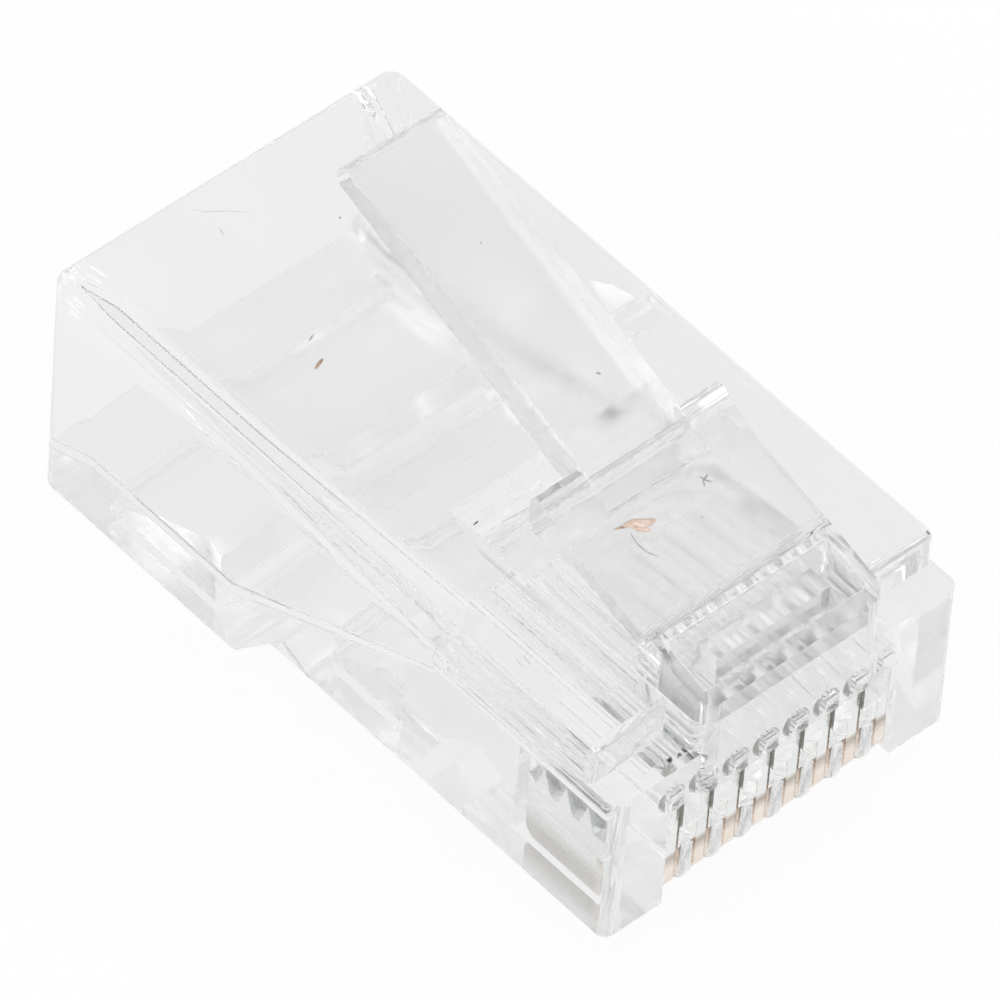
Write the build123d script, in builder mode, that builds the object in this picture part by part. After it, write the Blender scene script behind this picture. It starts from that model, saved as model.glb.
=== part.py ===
from build123d import *
import os

os.makedirs("parts", exist_ok=True)

# An eight-contact modular plug, latch side up, nose towards -Y, cable entry towards +Y.
# The driving sizes are in millimetres.

# Outline of the clear moulding
body_width = 11.6
rear_y = 10.81
front_y = -10.63
roof_z = 7.77
nose_top_z = 6.5
front_bottom_z = 1.44
step_front_y = 1.93
step_rear_y = 3.25
rail_setback = 0.98
rail_end_r = 0.25
rear_corner_r = 0.5
front_corner_r = 0.3
roof_edge_r = 0.35
step_edge_r = 0.35

# Channel between the side rails that the latch swings down into
channel_half_width = 3.2
channel_ramp_start_y = -2.9
channel_ramp_end_y = -1.45

# Root block that carries the latch above the nose
block_half_width = 3.05
block_reach = 0.18
block_length = 2.51
block_foot_length = 1.0
block_foot_depth = 0.5
block_lip_z = 4.92
block_front_top_z = 8.35
block_rear_top_z = 9.14
block_corner_r = 0.5
block_lip_r = 0.16
pocket_length = 1.5
pocket_width = 5.4
pocket_setback = 1.19
pocket_floor_z = 7.4
pocket_corner_r = 0.15
bar_length = 0.75
bar_width = 3.8
bar_setback = 1.31
bar_top_z = 8.62

# Latch: a thin web, a shoulder plate and a lever
hinge_reach = 0.06
hinge_z = 8.86
knuckle_r = 0.25
knuckle_clearance = 0.04
web_thickness = 0.5
web_overlap = 0.1
latch_half_width = 3.05
web_length = 2.43
web_end_z = 9.8
shoulder_front_length = 0.31
shoulder_front_z = 9.98
shoulder_length = 1.39
shoulder_rear_z = 10.78
shoulder_depth = 1.5
shoulder_edge_r = 0.3
lever_half_width = 1.63
lever_front_z = 10.14
lever_bend_z = 10.9
lever_front_run = 4.41
lever_middle_z = 12.54
lever_rear_run = 4.6
lever_tip_z = 14.0
lever_tip_thickness = 0.66
lever_root_thickness = 1.25
lever_front_thickness = 0.6
lever_tip_lean = 0.05
lever_tip_r = 0.2

# Contacts and the comb that separates them
contact_count = 8
contact_pitch = 1.02
contact_thickness = 0.35
contact_clearance = 0.03
contact_setback = 0.12
contact_length = 3.7
contact_bottom_z = 1.56
contact_front_top_z = 4.7
contact_rear_top_z = 3.9
contact_nose_r = 0.5
contact_heel_r = 0.4
contact_post_length = 0.55
tine_tip_z = 4.5
tine_valley_z = 3.7
tine_half_base = 0.28
tine_spacing = 0.8
tine_row_setback = 2.36
tine_count = 3
crimp_travel = 0.55
slot_top_clearance = 0.07
rib_width = 0.42
rib_bottom_z = 1.62
rib_nose_r = 0.5
rib_edge_r = 0.15
ledge_step_z = 3.9
ledge_step_depth = 0.1
ledge_z = 3.1
comb_tail = 0.35
hidden_slot_gap = 0.04

# Conductor channels, funnel and jacket cavity
channel_diameter = 0.9
channel_middle_z = 5.02
channel_setback = 0.66
funnel_front_y = -3.3
funnel_rear_y = 3.9
funnel_front_width = 8.4
funnel_front_height = 1.0
funnel_corner_r = 0.4
cavity_width = 9.4
cavity_floor_z = 1.15
cavity_roof_z = 6.6
cavity_corner_r = 0.7
mouth_step_y = 9.35
mouth_width = 10.3
mouth_floor_z = 0.75
mouth_roof_z = 7.0

# Strain-relief bars that a crimping tool swings inwards from the underside
jacket_bar_half_width = 4.25
conductor_bar_half_width = 3.95
relief_side_gap = 0.12
bar_root_back = 0.5
bar_root_rise = 0.86
jacket_window_front_y = 4.55
jacket_window_head_y = 3.35
jacket_window_head_z = 1.5
jacket_window_height = 0.9
jacket_hinge_y = 8.42
jacket_hinge_z = 0.42
jacket_knuckle_r = 0.22
jacket_bar_front_y = 4.72
jacket_bar_bottom_z = 0.12
jacket_bar_top_z = 1.9
jacket_bar_nose_length = 0.5
jacket_bar_nose_depth = 0.2
conductor_window_front_y = -2.35
conductor_window_drop = 0.3
conductor_hinge_y = 0.18
conductor_hinge_z = 1.9
conductor_knuckle_r = 0.2
conductor_bar_front_y = -2.2
conductor_bar_bottom_z = 1.6
conductor_bar_top_z = 3.1
conductor_bar_top_length = 0.6

# Places that follow from the driving sizes
rail_front_y = front_y + rail_setback
block_front_y = front_y - block_reach
block_rear_y = block_front_y + block_length
hinge_y = block_rear_y + hinge_reach
web_end_y = hinge_y + web_length
shoulder_front_y = web_end_y + shoulder_front_length
shoulder_rear_y = shoulder_front_y + shoulder_length
lever_middle_y = shoulder_rear_y + lever_front_run
lever_tip_y = lever_middle_y + lever_rear_run
pocket_middle_y = block_front_y + pocket_setback
bar_middle_y = block_front_y + bar_setback
contact_front_y = front_y + contact_setback
contact_rear_y = contact_front_y + contact_length
tine_middle_y = contact_front_y + tine_row_setback
comb_rear_y = contact_rear_y + comb_tail
channel_front_y = contact_front_y + channel_setback
jacket_window_top_z = jacket_window_head_z + jacket_window_height
conductor_window_top_z = channel_middle_z - conductor_window_drop
contact_span = contact_pitch * (contact_count - 1)
slot_top_z = contact_front_top_z + crimp_travel + slot_top_clearance
slot_width = contact_thickness + 2 * contact_clearance
wide_slot_width = contact_pitch - rib_width
comb_half_width = (contact_span + wide_slot_width) / 2
cover = 1.0
seam = 0.1


# Root block: a plate over the nose, rising between the rails
with BuildPart() as root_block:
    with BuildSketch(Plane.YZ):
        with BuildLine():
            Polyline(
                (block_front_y, block_lip_z),
                (block_rear_y - block_foot_length, block_lip_z),
                (block_rear_y, nose_top_z - block_foot_depth),
                (block_rear_y, block_rear_top_z),
                (block_front_y, block_front_top_z),
                close=True,
            )
        make_face()
    extrude(amount=block_half_width, both=True)
    fillet(root_block.edges().filter_by(Axis.Z).group_by(Axis.Y)[0], radius=block_corner_r)
    lip_edge = root_block.edges().filter_by(Axis.X).group_by(Axis.Y)[0].sort_by(Axis.Z)[0]
    fillet(lip_edge, radius=block_lip_r)


# Housing: outline with the step underneath
with BuildPart() as housing:
    with BuildSketch(Plane.YZ):
        with BuildLine():
            Polyline(
                (front_y, front_bottom_z),
                (step_front_y, front_bottom_z),
                (step_rear_y, 0),
                (rear_y, 0),
                (rear_y, roof_z),
                (rail_front_y, roof_z),
                (rail_front_y, nose_top_z),
                (front_y, nose_top_z),
                close=True,
            )
        make_face()
    extrude(amount=body_width / 2, both=True)
    fillet(housing.edges().filter_by(Axis.Z).group_by(Axis.Y)[-1], radius=rear_corner_r)
    fillet(housing.edges().filter_by(Axis.Z).group_by(Axis.Y)[0], radius=front_corner_r)
    roof = housing.faces().filter_by(Axis.Z).sort_by(Axis.Z)[-1]
    fillet(roof.edges().filter_by(Axis.Y), radius=roof_edge_r)
    step_edges = housing.edges().filter_by(Axis.X)
    step_edges = step_edges.filter_by_position(Axis.Y, step_front_y - seam, step_rear_y + seam)
    fillet(step_edges, radius=step_edge_r)

    # Channel for the latch, with a curved ramp up to the roof behind it
    with BuildSketch(Plane.YZ):
        with BuildLine():
            floor_line = Line((rail_front_y - cover, nose_top_z), (channel_ramp_start_y, nose_top_z))
            ramp = Spline(floor_line @ 1, (channel_ramp_end_y, roof_z + seam), tangents=((1, 0), (0.6, 1)))
            Polyline(ramp @ 1, (channel_ramp_end_y, roof_z + cover), (rail_front_y - cover, roof_z + cover),
                     floor_line @ 0)
        make_face()
    extrude(amount=channel_half_width, both=True, mode=Mode.SUBTRACT)
    rail_ends = housing.faces().filter_by(Axis.Y)
    rail_ends = rail_ends.filter_by_position(Axis.Y, rail_front_y - seam, rail_front_y + seam)
    fillet([edge for end in rail_ends for edge in end.edges().sort_by(Axis.Z)[1:]], radius=rail_end_r)
    add(root_block.part)

    # Pocket in the top of the root block, with a raised bar standing in it
    with BuildSketch(Plane.XY.offset(pocket_floor_z)):
        with Locations((0, pocket_middle_y)):
            RectangleRounded(pocket_width, pocket_length, pocket_corner_r)
    extrude(amount=block_rear_top_z - pocket_floor_z, mode=Mode.SUBTRACT)
    with BuildSketch(Plane.XY.offset(pocket_floor_z)):
        with Locations((0, bar_middle_y)):
            Rectangle(bar_width, bar_length)
    extrude(amount=bar_top_z - pocket_floor_z)

    # Socket in the root block for the latch's hinge
    with BuildSketch(Plane.YZ):
        with Locations((hinge_y, hinge_z)):
            Circle(knuckle_r + knuckle_clearance)
    extrude(amount=block_half_width, both=True, mode=Mode.SUBTRACT)

    # Comb: rounded rib ends, wide slots below the ledge and narrow slots above it
    with BuildSketch(Plane.YZ):
        with BuildLine():
            nose_start_z = rib_bottom_z + rib_nose_r
            rib_foot = Line((front_y - cover, nose_start_z), (front_y, nose_start_z))
            rib_nose = TangentArc(rib_foot @ 1, (front_y + rib_nose_r, rib_bottom_z), tangent=(0, -1))
            Polyline(rib_nose @ 1, (comb_rear_y, rib_bottom_z), (comb_rear_y, front_bottom_z - cover),
                     (front_y - cover, front_bottom_z - cover), rib_foot @ 0)
        make_face()
    extrude(amount=comb_half_width, both=True, mode=Mode.SUBTRACT)
    slot_length = comb_rear_y - front_y
    with BuildSketch(Plane.XY.offset(front_bottom_z)):
        with Locations((0, front_y + slot_length / 2 - cover / 2)):
            with GridLocations(contact_pitch, 1, contact_count, 1):
                Rectangle(wide_slot_width, slot_length + cover)
    extrude(amount=ledge_z - front_bottom_z, mode=Mode.SUBTRACT)
    rib_edges = housing.edges().filter_by(Axis.Y).filter_by_position(Axis.Z, rib_bottom_z, rib_bottom_z)
    fillet(rib_edges, radius=rib_edge_r)
    with BuildSketch(Plane.XZ.offset(-front_y - ledge_step_depth)):
        with Locations((0, (ledge_z + ledge_step_z) / 2)):
            Rectangle(2 * comb_half_width, ledge_step_z - ledge_z)
    extrude(amount=ledge_step_depth + cover, mode=Mode.SUBTRACT)
    with BuildSketch(Plane.XY.offset(ledge_z - seam)):
        with Locations((0, front_y + slot_length / 2 - cover / 2)):
            with GridLocations(contact_pitch, 1, contact_count, 1):
                Rectangle(slot_width, slot_length + cover)
    extrude(amount=block_lip_z - ledge_z + seam, mode=Mode.SUBTRACT)
    hidden_slot_front_y = contact_front_y - hidden_slot_gap
    with BuildSketch(Plane.XY.offset(block_lip_z - seam)):
        with Locations((0, (hidden_slot_front_y + comb_rear_y) / 2)):
            with GridLocations(contact_pitch, 1, contact_count, 1):
                Rectangle(slot_width, comb_rear_y - hidden_slot_front_y)
    extrude(amount=slot_top_z - block_lip_z + seam, mode=Mode.SUBTRACT)

    # Conductor channels above the contacts
    with BuildSketch(Plane.XZ.offset(-funnel_front_y - seam)):
        with Locations((0, channel_middle_z)):
            with GridLocations(contact_pitch, 1, contact_count, 1):
                Circle(channel_diameter / 2)
    extrude(amount=funnel_front_y + seam - channel_front_y, mode=Mode.SUBTRACT)

    # Funnel from the jacket cavity down to the row of channels
    cavity_height = cavity_roof_z - cavity_floor_z
    cavity_middle_z = (cavity_roof_z + cavity_floor_z) / 2
    with BuildSketch(Plane.XZ.offset(-funnel_rear_y)):
        with Locations((0, cavity_middle_z)):
            RectangleRounded(cavity_width, cavity_height, cavity_corner_r)
    with BuildSketch(Plane.XZ.offset(-funnel_front_y)):
        with Locations((0, channel_middle_z)):
            RectangleRounded(funnel_front_width, funnel_front_height, funnel_corner_r)
    loft(mode=Mode.SUBTRACT)

    # Jacket cavity with its wider mouth
    with BuildSketch(Plane.XZ.offset(-rear_y - cover)):
        with Locations((0, cavity_middle_z)):
            RectangleRounded(cavity_width, cavity_height, cavity_corner_r)
    extrude(amount=rear_y + cover - funnel_rear_y, mode=Mode.SUBTRACT)
    with BuildSketch(Plane.XZ.offset(-rear_y)):
        with Locations((0, (mouth_roof_z + mouth_floor_z) / 2)):
            RectangleRounded(mouth_width, mouth_roof_z - mouth_floor_z, cavity_corner_r)
    with BuildSketch(Plane.XZ.offset(-mouth_step_y)):
        with Locations((0, cavity_middle_z)):
            RectangleRounded(cavity_width, cavity_height, cavity_corner_r)
    loft(mode=Mode.SUBTRACT)

    # Window in the floor for the jacket bar, its head leaning like the step
    with BuildSketch(Plane.YZ):
        with BuildLine():
            Polyline(
                (jacket_window_front_y, -cover),
                (jacket_window_front_y, 0),
                (jacket_window_head_y, jacket_window_head_z),
                (jacket_window_head_y, jacket_window_top_z),
                (jacket_hinge_y, jacket_window_top_z),
                (jacket_hinge_y, -cover),
                close=True,
            )
        make_face()
    extrude(amount=jacket_bar_half_width + relief_side_gap, both=True, mode=Mode.SUBTRACT)
    with BuildSketch(Plane.YZ):
        with Locations((jacket_hinge_y, jacket_hinge_z)):
            Circle(jacket_knuckle_r + knuckle_clearance)
    extrude(amount=jacket_bar_half_width + relief_side_gap, both=True, mode=Mode.SUBTRACT)

    # Window for the conductor bar
    with BuildSketch(Plane.YZ):
        with BuildLine():
            Polyline(
                (conductor_window_front_y, front_bottom_z - cover),
                (conductor_window_front_y, conductor_window_top_z),
                (conductor_hinge_y, conductor_window_top_z),
                (conductor_hinge_y, front_bottom_z - cover),
                close=True,
            )
        make_face()
    extrude(amount=conductor_bar_half_width + relief_side_gap, both=True, mode=Mode.SUBTRACT)
    with BuildSketch(Plane.YZ):
        with Locations((conductor_hinge_y, conductor_hinge_z)):
            Circle(conductor_knuckle_r + knuckle_clearance)
    extrude(amount=conductor_bar_half_width + relief_side_gap, both=True, mode=Mode.SUBTRACT)


# Latch: knuckle, web, shoulder plate and lever
with BuildPart() as latch:
    with BuildSketch(Plane.YZ):
        with BuildLine():
            Polyline(
                (hinge_y, hinge_z + knuckle_r),
                (web_end_y, web_end_z),
                (shoulder_front_y, shoulder_front_z),
                (shoulder_rear_y, shoulder_rear_z),
                (shoulder_rear_y, shoulder_rear_z - shoulder_depth),
                (web_end_y - web_overlap, web_end_z - web_thickness - web_overlap / 2),
                (hinge_y, hinge_z - knuckle_r),
                close=True,
            )
        make_face()
    extrude(amount=latch_half_width, both=True)
    with BuildSketch(Plane.YZ):
        with Locations((hinge_y, hinge_z)):
            Circle(knuckle_r)
    extrude(amount=latch_half_width, both=True)
    plate_edges = latch.edges().filter_by(Axis.X).filter_by_position(Axis.Y, shoulder_rear_y - seam, rear_y)
    fillet(plate_edges, radius=shoulder_edge_r)

with BuildPart() as lever:
    with BuildSketch(Plane.YZ):
        with BuildLine():
            root_slope = Line((shoulder_front_y, lever_front_z), (shoulder_rear_y, lever_bend_z))
            crest_end = (lever_tip_y, lever_tip_z)
            crest = ThreePointArc(root_slope @ 1, (lever_middle_y, lever_middle_z), crest_end)
            Polyline(
                crest @ 1,
                (lever_tip_y + lever_tip_lean, lever_tip_z - lever_tip_thickness),
                (shoulder_rear_y, lever_bend_z - lever_root_thickness),
                (shoulder_front_y, lever_front_z - lever_front_thickness),
                root_slope @ 0,
            )
        make_face()
    extrude(amount=lever_half_width, both=True)
    fillet(lever.edges().filter_by(Axis.X).group_by(Axis.Y)[-2:], radius=lever_tip_r)

with BuildPart() as latch_whole:
    add(latch.part)
    add(lever.part)


# Contact: a flat blade with a rounded nose, a front post and three tines
with BuildPart() as contact:
    with BuildSketch(Plane.YZ):
        with BuildLine():
            outline_points = [
                (contact_rear_y, contact_rear_top_z),
                (contact_rear_y, contact_bottom_z),
                (contact_front_y, contact_bottom_z),
                (contact_front_y, contact_front_top_z),
                (contact_front_y + contact_post_length, contact_front_top_z),
                (contact_front_y + contact_post_length, tine_valley_z),
            ]
            for i in range(tine_count):
                tine_y = tine_middle_y + (i - (tine_count - 1) / 2) * tine_spacing
                outline_points.append((tine_y - tine_half_base, tine_valley_z))
                outline_points.append((tine_y, tine_tip_z))
                outline_points.append((tine_y + tine_half_base, tine_valley_z))
            Polyline(*outline_points, close=True)
        make_face()
    extrude(amount=contact_thickness / 2, both=True)
    nose_edge = contact.edges().filter_by(Axis.X).group_by(Axis.Y)[0].sort_by(Axis.Z)[0]
    fillet(nose_edge, radius=contact_nose_r)
    heel_edge = contact.edges().filter_by(Axis.X).group_by(Axis.Y)[-1].sort_by(Axis.Z)[0]
    fillet(heel_edge, radius=contact_heel_r)


# Jacket strain-relief bar, hinged at its rear
with BuildPart() as jacket_bar:
    with BuildSketch(Plane.YZ):
        with BuildLine():
            Polyline(
                (jacket_hinge_y, jacket_hinge_z - jacket_knuckle_r),
                (jacket_bar_front_y, jacket_bar_bottom_z),
                (jacket_bar_front_y, jacket_bar_top_z - jacket_bar_nose_depth),
                (jacket_bar_front_y + jacket_bar_nose_length, jacket_bar_top_z),
                (
                    jacket_hinge_y - bar_root_back * jacket_knuckle_r,
                    jacket_hinge_z + bar_root_rise * jacket_knuckle_r,
                ),
                close=True,
            )
        make_face()
    extrude(amount=jacket_bar_half_width, both=True)
    with BuildSketch(Plane.YZ):
        with Locations((jacket_hinge_y, jacket_hinge_z)):
            Circle(jacket_knuckle_r)
    extrude(amount=jacket_bar_half_width, both=True)


# Conductor strain-relief bar, hinged at its rear
with BuildPart() as conductor_bar:
    with BuildSketch(Plane.YZ):
        with BuildLine():
            Polyline(
                (conductor_hinge_y, conductor_hinge_z - conductor_knuckle_r),
                (conductor_bar_front_y, conductor_bar_bottom_z),
                (conductor_bar_front_y, conductor_bar_top_z),
                (conductor_bar_front_y + conductor_bar_top_length, conductor_bar_top_z),
                (
                    conductor_hinge_y - bar_root_back * conductor_knuckle_r,
                    conductor_hinge_z + bar_root_rise * conductor_knuckle_r,
                ),
                close=True,
            )
        make_face()
    extrude(amount=conductor_bar_half_width, both=True)
    with BuildSketch(Plane.YZ):
        with Locations((conductor_hinge_y, conductor_hinge_z)):
            Circle(conductor_knuckle_r)
    extrude(amount=conductor_bar_half_width, both=True)


housing.part.label = "housing"
export_step(housing.part, "parts/housing.step")
latch_whole.part.label = "latch"
export_step(latch_whole.part, "parts/latch.step")
jacket_bar.part.label = "jacket_bar"
export_step(jacket_bar.part, "parts/jacket_bar.step")
conductor_bar.part.label = "conductor_bar"
export_step(conductor_bar.part, "parts/conductor_bar.step")
for i in range(contact_count):
    blade_x = (i - (contact_count - 1) / 2) * contact_pitch
    blade = Pos(blade_x, 0, 0) * contact.part
    blade.label = f"contact_{i + 1}"
    export_step(blade, f"parts/contact_{i + 1}.step")
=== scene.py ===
import bmesh
import bpy
import numpy as np
from mathutils import Matrix, Vector
from mathutils.bvhtree import BVHTree


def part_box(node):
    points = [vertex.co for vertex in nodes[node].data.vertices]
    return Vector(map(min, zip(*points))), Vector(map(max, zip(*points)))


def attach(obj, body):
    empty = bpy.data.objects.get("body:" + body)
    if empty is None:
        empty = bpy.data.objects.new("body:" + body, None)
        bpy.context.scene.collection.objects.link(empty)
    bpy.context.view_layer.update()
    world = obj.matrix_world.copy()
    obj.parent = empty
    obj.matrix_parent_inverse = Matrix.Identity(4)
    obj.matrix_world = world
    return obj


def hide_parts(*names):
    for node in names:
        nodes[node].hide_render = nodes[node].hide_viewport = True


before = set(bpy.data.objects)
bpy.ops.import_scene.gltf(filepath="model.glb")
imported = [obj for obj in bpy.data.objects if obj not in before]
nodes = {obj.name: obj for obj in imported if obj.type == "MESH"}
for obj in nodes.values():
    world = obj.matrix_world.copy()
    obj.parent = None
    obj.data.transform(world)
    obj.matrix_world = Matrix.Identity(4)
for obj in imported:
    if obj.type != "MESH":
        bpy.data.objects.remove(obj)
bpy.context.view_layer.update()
MM = 0.001

CONTACTS = [f"contact_{i}" for i in range(1, 9)]
CONTACT_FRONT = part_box("contact_1")[0][1]
CONTACT_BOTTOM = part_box("contact_1")[0][2]
MARKED = ("housing", "latch")


# Viewpoint of the photograph

AZIMUTH = np.radians(-45.2340)
ELEVATION = np.radians(48.7240)
ROLL = np.radians(4.5697)
DISTANCE = 0.4057381
OFFSET = (0.0003153, 0.0028877)
FOCAL_PER_FRAME = 15.96704
CENTRE = np.array([0, 0.00009, 0])
FRAME_PIXELS = 1000

forward = np.array([-np.sin(AZIMUTH) * np.cos(ELEVATION),
                    np.cos(AZIMUTH) * np.cos(ELEVATION),
                    -np.sin(ELEVATION)])
level = np.array([np.cos(AZIMUTH), np.sin(AZIMUTH), 0])
upright = np.cross(level, forward)
right = np.cos(ROLL) * level + np.sin(ROLL) * upright
up = -np.sin(ROLL) * level + np.cos(ROLL) * upright
eye = CENTRE + right * OFFSET[0] + up * OFFSET[1] - forward * DISTANCE


def sight(pixel):
    """The direction in which the camera sees a pixel: straight ahead, plus a share of right and a
    share of up."""
    across = (pixel[0] - FRAME_PIXELS / 2) / FRAME_PIXELS / FOCAL_PER_FRAME
    down = (pixel[1] - FRAME_PIXELS / 2) / FRAME_PIXELS / FOCAL_PER_FRAME
    return forward + across * right - down * up


# Materials

class Graph:
    """A small helper that adds shader nodes to one material and joins them."""

    def __init__(self, name):
        self.mat = bpy.data.materials.new(name)
        self.mat.use_nodes = True
        self.tree = self.mat.node_tree
        self.tree.nodes.clear()
        self.out = self.add("ShaderNodeOutputMaterial")
        self.coord = self.add("ShaderNodeTexCoord")

    def add(self, kind, **values):
        """One node. Each value goes to the input of that name, or else to a setting."""
        node = self.tree.nodes.new(kind)
        for key, value in values.items():
            if key in node.inputs:
                node.inputs[key].default_value = value
            else:
                setattr(node, key, value)
        return node

    def link(self, source, target):
        self.tree.links.new(source, target)

    def finish(self, shader):
        """The material with the given shader on its surface."""
        self.link(shader, self.out.inputs["Surface"])
        return self.mat

    def place(self, scale=(1, 1, 1)):
        """Object coordinates, in metres, stretched by scale."""
        stretch = self.add("ShaderNodeMapping")
        stretch.inputs["Scale"].default_value = scale
        self.link(self.coord.outputs["Object"], stretch.inputs["Vector"])
        return stretch.outputs["Vector"]

    def parts(self, name):
        """The X, Y and Z of the object coordinates or of the normal in the object's own axes."""
        split = self.add("ShaderNodeSeparateXYZ")
        self.link(self.coord.outputs[name], split.inputs[0])
        return split.outputs["X"], split.outputs["Y"], split.outputs["Z"]

    def noise(self, where, scale, detail):
        texture = self.add("ShaderNodeTexNoise", Scale=scale, Detail=detail)
        self.link(where, texture.inputs["Vector"])
        return texture.outputs["Fac"]

    def ramp(self, factor, stops):
        table = self.add("ShaderNodeValToRGB")
        slots = table.color_ramp.elements
        while len(slots) < len(stops):
            slots.new(0.5)
        for slot, (at, colour) in zip(slots, stops):
            slot.position = at
            slot.color = (*colour, 1)
        self.link(factor, table.inputs["Fac"])
        return table.outputs["Color"]

    def tones(self, factor, dark, pale):
        """A colour that goes from dark to pale over the middle of a noise."""
        return self.ramp(factor, [(0.3, dark), (0.7, pale)])

    def mixed(self, factor, first, second):
        """The first colour, giving way to the second as the factor rises."""
        mix = self.add("ShaderNodeMix", data_type="RGBA")
        self.link(factor, mix.inputs["Factor"])
        self.link(first, mix.inputs[6])
        self.link(second, mix.inputs[7])
        return mix.outputs[2]

    def layered(self, factor, first, second):
        """The first shader, giving way to the second as the factor rises."""
        mix = self.add("ShaderNodeMixShader")
        self.link(factor, mix.inputs["Fac"])
        self.link(first, mix.inputs[1])
        self.link(second, mix.inputs[2])
        return mix.outputs[0]

    def maths(self, operation, first, second=None):
        """One sum of two values, each a node's output or a plain number."""
        result = self.add("ShaderNodeMath", operation=operation)
        for slot, value in enumerate((first, second)):
            if isinstance(value, (int, float)):
                result.inputs[slot].default_value = value
            elif value is not None:
                self.link(value, result.inputs[slot])
        return result.outputs[0]

    def product(self, first, *others):
        for other in others:
            first = self.maths("MULTIPLY", first, other)
        return first

    def number(self, factor, low, high, start=0.35, end=0.65):
        """A value that goes from low to high while the factor goes from start to end, and stays
        outside them. The usual start and end fit a noise."""
        scaled = self.add("ShaderNodeMapRange")
        scaled.inputs["From Min"].default_value = start
        scaled.inputs["From Max"].default_value = end
        scaled.inputs["To Min"].default_value = low
        scaled.inputs["To Max"].default_value = high
        self.link(factor, scaled.inputs["Value"])
        return scaled.outputs["Result"]

    def above(self, value, start, end):
        return self.number(value, 0.0, 1.0, start, end)

    def below(self, value, start, end):
        return self.number(value, 1.0, 0.0, start, end)


POLYCARBONATE_IOR = 1.585
FLOW_SCALE = 420.0
FLOW_STRETCH = (1, 0.35, 1)
FLOW_BUMP = {"Strength": 0.02, "Distance": 0.03 * MM}
HAZE_SCALE = 260.0
CLEAR_TONES = ((0.968, 0.970, 0.969), (0.990, 0.991, 0.990))

# How upright a face's direction is: a side stays below the first, a level face is above the second
SIDE_TO_LEVEL = (0.6, 0.9)

POCKET_FLOOR = 7.4 * MM
POCKET_HALF_WIDTH = 2.76 * MM
POCKET_FRONT = -10.4 * MM
POCKET_REAR = -8.8 * MM
POCKET_BORDER = 0.03 * MM
POCKET_FROST = 0.1
POCKET_VEIL = (0.1, 0.3)
VEIL_TONES = ((0.985, 0.985, 0.985), (0.995, 0.995, 0.995))


def clear_plastic(name, frost, milk):
    """Moulded clear polycarbonate: refracting, with flow lines and haze. Of each pair of values,
    the first is for the sides and the second for faces that point up or down. The pocket over the
    nose has a duller finish, with a thin white veil that is strongest on its level faces."""
    g = Graph(name)
    body = g.add("ShaderNodeBsdfPrincipled", IOR=POLYCARBONATE_IOR)
    flow = g.noise(g.place(FLOW_STRETCH), FLOW_SCALE, 0.0)
    haze = g.noise(g.place(), HAZE_SCALE, 0.0)
    g.link(g.tones(flow, *CLEAR_TONES), body.inputs["Base Color"])
    facing = g.maths("ABSOLUTE", g.parts("Normal")[2])
    x, y, z = g.parts("Object")
    pocket = g.product(
        g.above(z, POCKET_FLOOR - 0.1 * MM, POCKET_FLOOR - 0.05 * MM),
        g.below(g.maths("ABSOLUTE", x), POCKET_HALF_WIDTH - POCKET_BORDER, POCKET_HALF_WIDTH),
        g.below(y, POCKET_REAR - POCKET_BORDER, POCKET_REAR),
        g.above(y, POCKET_FRONT, POCKET_FRONT + POCKET_BORDER))
    g.link(g.number(facing, 1 - milk[0], 1 - milk[1], *SIDE_TO_LEVEL),
           body.inputs["Transmission Weight"])
    even = g.maths("MAXIMUM", g.number(facing, *frost, *SIDE_TO_LEVEL),
                   g.product(pocket, POCKET_FROST))
    g.link(g.product(even, g.number(haze, 0.6, 1.4, 0.2, 0.8)), body.inputs["Roughness"])
    bump = g.add("ShaderNodeBump", **FLOW_BUMP)
    g.link(flow, bump.inputs["Height"])
    g.link(bump.outputs["Normal"], body.inputs["Normal"])
    veil = g.add("ShaderNodeBsdfDiffuse")
    g.link(g.tones(flow, *VEIL_TONES), veil.inputs["Color"])
    share = g.product(pocket, g.number(facing, *POCKET_VEIL, *SIDE_TO_LEVEL))
    return g.finish(g.layered(share, body.outputs["BSDF"], veil.outputs[0]))


GILT_TONES = ((0.92, 0.81, 0.72), (0.98, 0.90, 0.83))
NICKEL_TONES = ((0.88, 0.90, 0.89), (0.95, 0.96, 0.95))
# Dark tones for the painted shade band under the comb's ledge and for the darker foot
PAINTED_SHADE_AND_FOOT_TONES = ((0.42, 0.38, 0.34), (0.58, 0.53, 0.48))

# Where a contact's gold, painted shade band and darker foot start and end, from its front or bottom
GILT_DEPTH = (CONTACT_FRONT + 0.9 * MM, CONTACT_FRONT + 1.2 * MM)
GILT_HEIGHT = (CONTACT_BOTTOM + 1.3 * MM, CONTACT_BOTTOM + 1.5 * MM)
# A band of painted shade at the top of the gold patch, where the comb's ledge shades it
PAINTED_SHADE_HEIGHT = (CONTACT_BOTTOM + 0.9 * MM, CONTACT_BOTTOM + 1.3 * MM)
FOOT_HEIGHT = (CONTACT_BOTTOM + 0.4 * MM, CONTACT_BOTTOM + 1.0 * MM)
FOOT_DARKENING = 0.6

GRAIN_SCALE = 4000.0
GRAIN_STRETCH = (1, 0.15, 1)
GRAIN_BUMP = {"Strength": 0.1, "Distance": 0.02 * MM}
TONE_SCALE = 700.0
STAMPED_EDGE = 0.05 * MM


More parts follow.
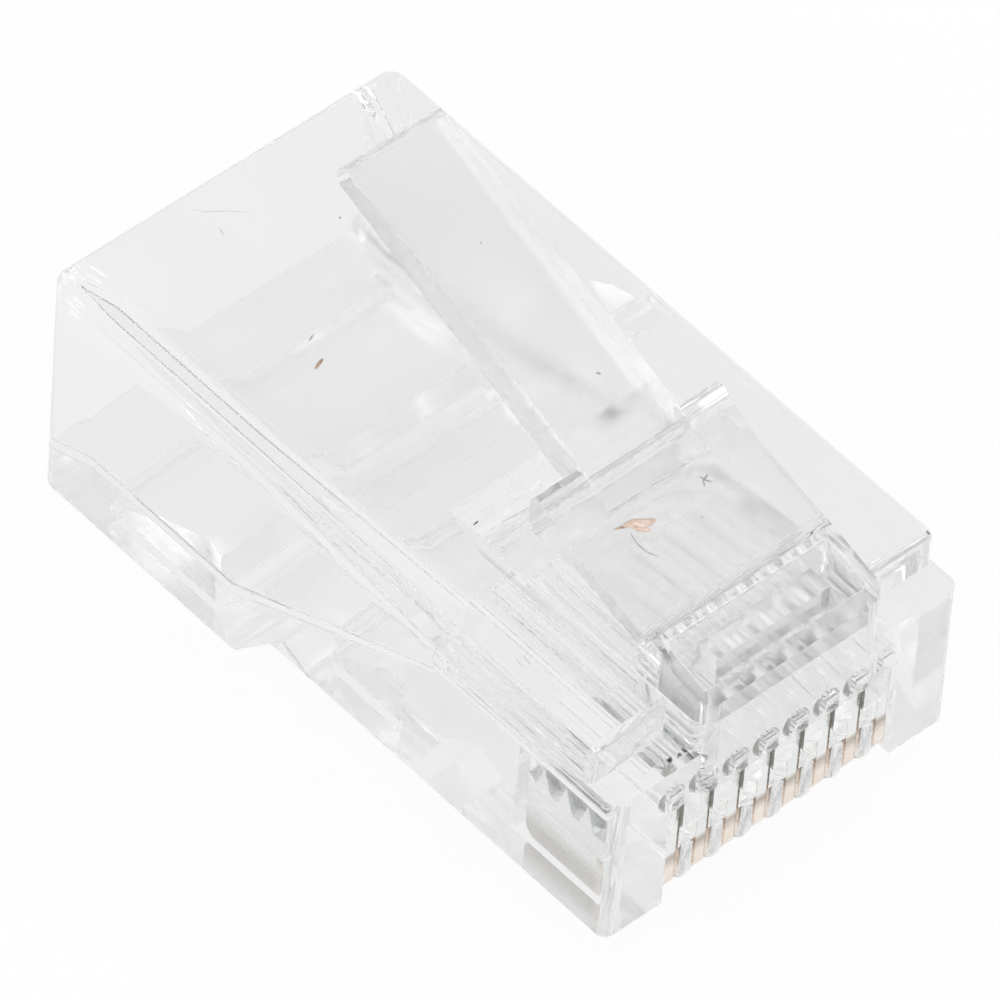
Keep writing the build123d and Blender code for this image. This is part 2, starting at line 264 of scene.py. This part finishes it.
def contact_metal(name):
    """Stamped copper alloy under nickel: pale grey, with gold on the patch at the lower front that
    touches a jack's wires, a band of painted shade between the two where the comb's ledge shades
    the gold, and a foot that is darker towards the bottom."""
    g = Graph(name)
    body = g.add("ShaderNodeBsdfPrincipled", Metallic=1.0)
    grain = g.noise(g.place(GRAIN_STRETCH), GRAIN_SCALE, 3.0)
    tone = g.noise(g.place(), TONE_SCALE, 2.0)
    _, y, z = g.parts("Object")
    front = g.below(y, *GILT_DEPTH)
    patch = g.product(front, g.below(z, *GILT_HEIGHT))
    # Painted shade: a dark band at the top of the gold patch under the ledge, plus a foot darker
    # towards the bottom
    painted_shade_and_dark_foot = g.maths("ADD", g.product(g.above(z, *PAINTED_SHADE_HEIGHT), patch),
                     g.product(g.number(z, FOOT_DARKENING, 0.0, *FOOT_HEIGHT),
                               g.maths("SUBTRACT", 1.0, front)))
    clean = g.mixed(patch, g.tones(tone, *NICKEL_TONES), g.tones(tone, *GILT_TONES))
    g.link(g.mixed(painted_shade_and_dark_foot, clean, g.tones(tone, *PAINTED_SHADE_AND_FOOT_TONES)), body.inputs["Base Color"])
    g.link(g.number(grain, 0.16, 0.32), body.inputs["Roughness"])
    edge = g.add("ShaderNodeBevel", samples=4, Radius=STAMPED_EDGE)
    bump = g.add("ShaderNodeBump", **GRAIN_BUMP)
    g.link(grain, bump.inputs["Height"])
    g.link(edge.outputs["Normal"], bump.inputs["Normal"])
    g.link(bump.outputs["Normal"], body.inputs["Normal"])
    return g.finish(body.outputs["BSDF"])


def dust(name, dark, pale, scale):
    """A speck of dust or a fibre: matt, mottled between a dark and a pale tone."""
    g = Graph(name)
    body = g.add("ShaderNodeBsdfPrincipled")
    mottle = g.noise(g.place(), scale, 3.0)
    g.link(g.ramp(mottle, [(0.35, dark), (0.65, pale)]), body.inputs["Base Color"])
    g.link(g.number(mottle, 0.55, 0.85), body.inputs["Roughness"])
    return g.finish(body.outputs["BSDF"])


plastic = clear_plastic("clear_polycarbonate", frost=(0.0, 0.07), milk=(0.0, 0.015))
latch_plastic = clear_plastic("frosted_latch", frost=(0.0, 0.16), milk=(0.0, 0.03))
gold = contact_metal("gold_plated_contact")
grey_dust = dust("grey_dust", (0.20, 0.19, 0.18), (0.42, 0.40, 0.38), 9000.0)
brown_dust = dust("brown_dust", (0.30, 0.21, 0.16), (0.66, 0.48, 0.36), 9000.0)
rust_dust = dust("rust_dust", (0.62, 0.44, 0.35), (0.80, 0.67, 0.60), 12000.0)
faint_line = dust("faint_scratch", (0.62, 0.62, 0.62), (0.78, 0.78, 0.78), 6000.0)

for name, node in nodes.items():
    node.data.materials.clear()
    node.data.materials.append(gold if name in CONTACTS else plastic)


# Moulded pieces

JOIN_DISTANCE = 0.001 * MM
FLAT_ANGLE = np.radians(0.5)
SHARP_ANGLE = np.radians(32)
SOFT_LENGTH = 1.2 * MM
SOFT_ANGLE = np.radians(50)
SOFT_SEGMENTS = 2


def moulding(name, material, soft_width):
    """The solid of one moulded piece with its loose triangles joined and its flat faces made
    whole. Its long outer edges are rounded by soft_width, and its round faces shaded smooth: each
    corner normal is the mean of the faces around it, weighted by their areas."""
    mesh = nodes[name].data.copy()
    work = bmesh.new()
    work.from_mesh(mesh)
    bmesh.ops.remove_doubles(work, verts=work.verts, dist=JOIN_DISTANCE)
    bmesh.ops.dissolve_limit(work, angle_limit=FLAT_ANGLE, verts=work.verts, edges=work.edges)
    soft = work.edges.layers.float.new("bevel_weight_edge")
    for edge in work.edges:
        if len(edge.link_faces) == 2 and edge.calc_length() > SOFT_LENGTH:
            edge[soft] = float(edge.calc_face_angle_signed() > SOFT_ANGLE)
    work.to_mesh(mesh)
    work.free()
    mesh.materials.clear()
    mesh.materials.append(material)
    mesh.polygons.foreach_set("use_smooth", np.ones(len(mesh.polygons), dtype=bool))
    mesh.set_sharp_from_angle(angle=SHARP_ANGLE)
    piece = bpy.data.objects.new(name + "_moulding", mesh)
    bpy.context.scene.collection.objects.link(piece)
    rounding = piece.modifiers.new("moulded_edges", "BEVEL")
    rounding.limit_method = "WEIGHT"
    rounding.width = soft_width
    rounding.segments = SOFT_SEGMENTS
    rounding.use_clamp_overlap = True
    even = piece.modifiers.new("even_normals", "WEIGHTED_NORMAL")
    even.keep_sharp = True
    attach(piece, name + "_body")
    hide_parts(name)


for name in ("housing", "jacket_bar", "conductor_bar"):
    moulding(name, plastic, 0.07 * MM)
moulding("latch", latch_plastic, 0.12 * MM)


# Dust, fibres and marks

def surface_of(name):
    """The solid of a piece in a form that a line of sight can be tested against."""
    solid = nodes[name].data
    corners = np.empty(len(solid.vertices) * 3)
    solid.vertices.foreach_get("co", corners)
    faces = [list(face.vertices) for face in solid.polygons]
    return BVHTree.FromPolygons(corners.reshape(-1, 3).tolist(), faces)


surfaces = {name: surface_of(name) for name in MARKED}


def landing(pixel, carrier):
    """The first place where the line of sight through a pixel meets the carrier, and the
    surface's direction."""
    place, facing, _, _ = surfaces[carrier].ray_cast(Vector(eye), Vector(sight(pixel)).normalized())
    return np.array(place), np.array(facing)


def solid_mesh(name, rows, material):
    """A closed skin over a grid of points: each row is joined to the next, around, and both ends
    are capped."""
    count, around, _ = rows.shape
    first = np.arange((count - 1) * around).reshape(count - 1, around)
    second = np.roll(first, -1, axis=1)
    quads = np.stack([first, second, second + around, first + around], axis=-1)
    faces = quads.reshape(-1, 4).tolist()
    faces.append(list(range(around))[::-1])
    faces.append(list(range((count - 1) * around, count * around)))
    mesh = bpy.data.meshes.new(name)
    mesh.from_pydata(rows.reshape(-1, 3).tolist(), [], faces)
    work = bmesh.new()
    work.from_mesh(mesh)
    bmesh.ops.recalc_face_normals(work, faces=work.faces)
    work.to_mesh(mesh)
    work.free()
    mesh.polygons.foreach_set("use_smooth", np.ones(len(mesh.polygons), dtype=bool))
    mesh.materials.append(material)
    piece = bpy.data.objects.new(name, mesh)
    bpy.context.scene.collection.objects.link(piece)
    return piece


STEPS_PER_STRETCH = 9
RING_POINTS = 8
END_RADIUS_SHARE = 0.12
FLATNESS = 0.5
LIFT_SHARE = 0.25


def thread(name, pixels, width, carrier, material):
    """A fibre or scratch lying on a surface: a flattened round section carried along straight
    steps between the places where the given pixels land. Its radius follows the root of a half
    sine, so that both ends run out to a point."""
    spots = [landing(pixel, carrier) for pixel in pixels]
    knots = np.array([spot[0] for spot in spots])
    facing = np.mean([spot[1] for spot in spots], axis=0)
    facing = facing / np.linalg.norm(facing)
    share = np.linspace(0, len(knots) - 1, STEPS_PER_STRETCH * (len(knots) - 1) + 1)
    path = np.stack([np.interp(share, np.arange(len(knots)), knots[:, axis])
                     for axis in range(3)], axis=1)
    along = np.gradient(path, axis=0)
    along = along / np.linalg.norm(along, axis=1, keepdims=True)
    sideways = np.cross(along, facing)
    sideways = sideways / np.linalg.norm(sideways, axis=1, keepdims=True)
    swell = np.sin(np.pi * np.linspace(0, 1, len(path))) ** 0.5
    radius = width / 2 * (END_RADIUS_SHARE + (1 - END_RADIUS_SHARE) * swell)
    turn = np.linspace(0, 2 * np.pi, RING_POINTS, endpoint=False)
    ring = (sideways[:, None, :] * np.cos(turn)[None, :, None]
            + FLATNESS * facing * np.sin(turn)[None, :, None])
    rows = path[:, None, :] + facing * width * LIFT_SHARE + radius[:, None, None] * ring
    piece = solid_mesh(name, rows, material)
    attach(piece, carrier + "_body")


# Each mark's piece, material, width in mm, and the pixels of the photograph that it runs through
MARKS = {
    "scratch_roof": ("housing", faint_line, 0.03, [(191, 209), (205, 212), (228, 211), (253, 213)]),
    "tick_roof_rear": ("housing", faint_line, 0.04, [(219, 228), (224, 236)]),
    "tick_roof": ("housing", grey_dust, 0.04, [(313, 335), (309, 342)]),
    "fleck_roof": ("housing", brown_dust, 0.10, [(323, 359), (319, 364), (315, 370)]),
    "dot_roof": ("housing", grey_dust, 0.05, [(339, 217), (341, 219)]),
    "tick_ramp": ("housing", grey_dust, 0.05, [(478, 521), (473, 525)]),
    "dot_lever_high": ("latch", grey_dust, 0.04, [(480, 242), (482, 244)]),
    "dot_lever_low": ("latch", grey_dust, 0.05, [(596, 373), (601, 374)]),
    "dot_lever_side": ("latch", faint_line, 0.04, [(580, 394), (582, 396)]),
    "stain_root": ("latch", rust_dust, 0.24, [(622, 527), (634, 524), (646, 524), (655, 521)]),
    "stain_low": ("latch", rust_dust, 0.16, [(632, 530), (640, 529), (650, 531)]),
    "stain_tail": ("latch", brown_dust, 0.07, [(614, 530), (620, 528), (628, 527)]),
    "hair_long": ("latch", faint_line, 0.03, [(650, 527), (666, 526), (679, 521), (690, 512)]),
    "hair_short": ("latch", grey_dust, 0.03, [(630, 533), (638, 545), (648, 553), (660, 557)]),
    "cross_bar": ("latch", grey_dust, 0.04, [(699, 476), (705, 480), (712, 482)]),
    "cross_leg": ("latch", grey_dust, 0.04, [(708, 474), (703, 481), (705, 487)]),
    "dot_web": ("latch", grey_dust, 0.04, [(701, 516), (703, 518)]),
    "dot_rail": ("housing", grey_dust, 0.08, [(926, 531), (929, 535)]),
    "mark_left": ("housing", plastic, 0.06, [(516, 658), (524, 668)]),
    "mark_right": ("housing", plastic, 0.06, [(523, 655), (531, 665)]),
}
for name, (carrier, material, width, pixels) in MARKS.items():
    thread(name, pixels, width * MM, carrier, material)


# Floor

FLOOR_HALF = 0.6
FLOOR_Z = -0.02 * MM
OWN_WHITE = 0.93
DIMMED_THROUGH = 0.1
PAPER_TONES = ((0.95, 0.95, 0.95), (0.97, 0.97, 0.97))


def white_floor(name):
    """Pale paper: most of what the camera sees is its own white and the rest is lit, so a soft
    shadow stays. Seen in or through the plastic, that white is a little weaker."""
    g = Graph(name)
    path = g.add("ShaderNodeLightPath")
    through = g.maths("MAXIMUM", path.outputs["Is Glossy Ray"],
                      path.outputs["Is Transmission Ray"])
    seen = g.product(g.maths("MAXIMUM", path.outputs["Is Camera Ray"], through), OWN_WHITE)
    lit = g.add("ShaderNodeBsdfDiffuse")
    g.link(g.tones(g.noise(g.place(), 300.0, 3.0), *PAPER_TONES), lit.inputs["Color"])
    glow = g.add("ShaderNodeEmission", Color=(1, 1, 1, 1))
    g.link(g.maths("SUBTRACT", 1.0, g.product(through, DIMMED_THROUGH)), glow.inputs["Strength"])
    return g.finish(g.layered(seen, lit.outputs[0], glow.outputs[0]))


floor_corners = [(-FLOOR_HALF, -FLOOR_HALF, FLOOR_Z), (FLOOR_HALF, -FLOOR_HALF, FLOOR_Z),
                 (FLOOR_HALF, FLOOR_HALF, FLOOR_Z), (-FLOOR_HALF, FLOOR_HALF, FLOOR_Z)]
floor_mesh = bpy.data.meshes.new("studio_floor")
floor_mesh.from_pydata(floor_corners, [], [(0, 1, 2, 3)])
floor_mesh.materials.append(white_floor("white_paper"))
floor = bpy.data.objects.new("studio_floor", floor_mesh)
bpy.context.scene.collection.objects.link(floor)


# Light

LAMP_AIM = (0, 0, 0.004)


def softbox(name, place, size, power):
    """A rectangular lamp that points at the middle of the plug."""
    lamp = bpy.data.lights.new(name, "AREA")
    lamp.shape = "RECTANGLE"
    lamp.size, lamp.size_y = size
    lamp.energy = power
    stand = bpy.data.objects.new(name, lamp)
    stand.location = place
    stand.rotation_euler = (Vector(LAMP_AIM) - Vector(place)).to_track_quat("-Z", "Y").to_euler()
    bpy.context.scene.collection.objects.link(stand)


softbox("front_softbox", (-0.09, -0.26, 0.10), size=(0.30, 0.20), power=0.28)
softbox("top_softbox", (-0.16, -0.10, 0.30), size=(0.10, 0.10), power=0.12)


# A bright tent that dims a little overhead, and is plain white behind the object

SKY_LEVELS = [(0.0, 0.9), (0.35, 0.9), (1.0, 0.8)]

world = bpy.data.worlds.new("studio")
bpy.context.scene.world = world
world.use_nodes = True
tree = world.node_tree
tree.nodes.clear()
out = tree.nodes.new("ShaderNodeOutputWorld")
path = tree.nodes.new("ShaderNodeLightPath")
coord = tree.nodes.new("ShaderNodeTexCoord")
split = tree.nodes.new("ShaderNodeSeparateXYZ")
tree.links.new(coord.outputs["Generated"], split.inputs[0])
sky = tree.nodes.new("ShaderNodeValToRGB")
while len(sky.color_ramp.elements) < len(SKY_LEVELS):
    sky.color_ramp.elements.new(0.5)
for element, (height, grey) in zip(sky.color_ramp.elements, SKY_LEVELS):
    element.position = height
    element.color = (grey, grey, grey, 1)
tree.links.new(split.outputs["Z"], sky.inputs["Fac"])
tent = tree.nodes.new("ShaderNodeBackground")
tree.links.new(sky.outputs["Color"], tent.inputs["Color"])
white = tree.nodes.new("ShaderNodeBackground")
white.inputs["Color"].default_value = (1, 1, 1, 1)
choose = tree.nodes.new("ShaderNodeMixShader")
tree.links.new(path.outputs["Is Camera Ray"], choose.inputs["Fac"])
tree.links.new(tent.outputs[0], choose.inputs[1])
tree.links.new(white.outputs[0], choose.inputs[2])
tree.links.new(choose.outputs[0], out.inputs["Surface"])


# Camera at the photograph's angle

SENSOR_WIDTH = 36.0

lens = bpy.data.cameras.new("camera")
lens.sensor_width = SENSOR_WIDTH
lens.sensor_fit = "HORIZONTAL"
lens.lens = FOCAL_PER_FRAME * SENSOR_WIDTH
lens.clip_start = 0.01
lens.clip_end = 5.0
camera = bpy.data.objects.new("camera", lens)
matrix = Matrix.Identity(4)
for row in range(3):
    matrix[row][0] = right[row]
    matrix[row][1] = up[row]
    matrix[row][2] = -forward[row]
    matrix[row][3] = eye[row]
camera.matrix_world = matrix
bpy.context.scene.collection.objects.link(camera)
bpy.context.scene.camera = camera


# Render settings that the look needs: light has to cross many clear walls

CLEAR_BOUNCES = 26

scene = bpy.context.scene
scene.view_settings.view_transform = "Standard"
scene.cycles.max_bounces = CLEAR_BOUNCES
scene.cycles.diffuse_bounces = 12
scene.cycles.transmission_bounces = CLEAR_BOUNCES
scene.cycles.glossy_bounces = CLEAR_BOUNCES
scene.cycles.transparent_max_bounces = 16
scene.cycles.caustics_refractive = True
scene.cycles.caustics_reflective = True
scene.cycles.use_light_tree = False
